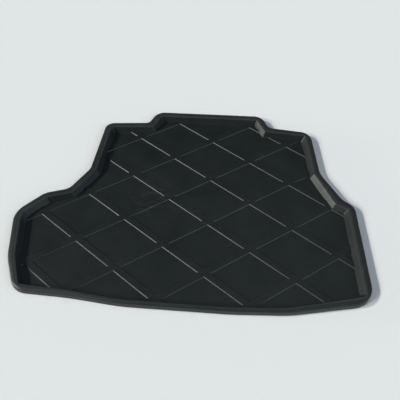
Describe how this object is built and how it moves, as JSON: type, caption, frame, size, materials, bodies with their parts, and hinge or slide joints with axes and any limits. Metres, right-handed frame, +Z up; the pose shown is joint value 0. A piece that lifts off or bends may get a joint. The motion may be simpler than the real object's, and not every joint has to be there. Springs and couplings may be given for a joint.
{
  "type": "car boot liner",
  "caption": "Shallow black plastic tray that lines a car's boot, with a rolled lip and raised bands crossing its floor in a diamond pattern.",
  "frame": {"origin": "middle of the liner's plan, on the surface that the underside of its floor lies on", "axes": "+X to the right seen from behind the car, +Y forward to the rear seats, +Z up"},
  "size_m": [1.393, 1.0368, 0.0298],
  "materials": {
    "black_plastic": "satin, with a fine moulded grain"
  },
  "bodies": {
    "root": {"liner_tray": "black_plastic"}
  },
  "joints": []
}
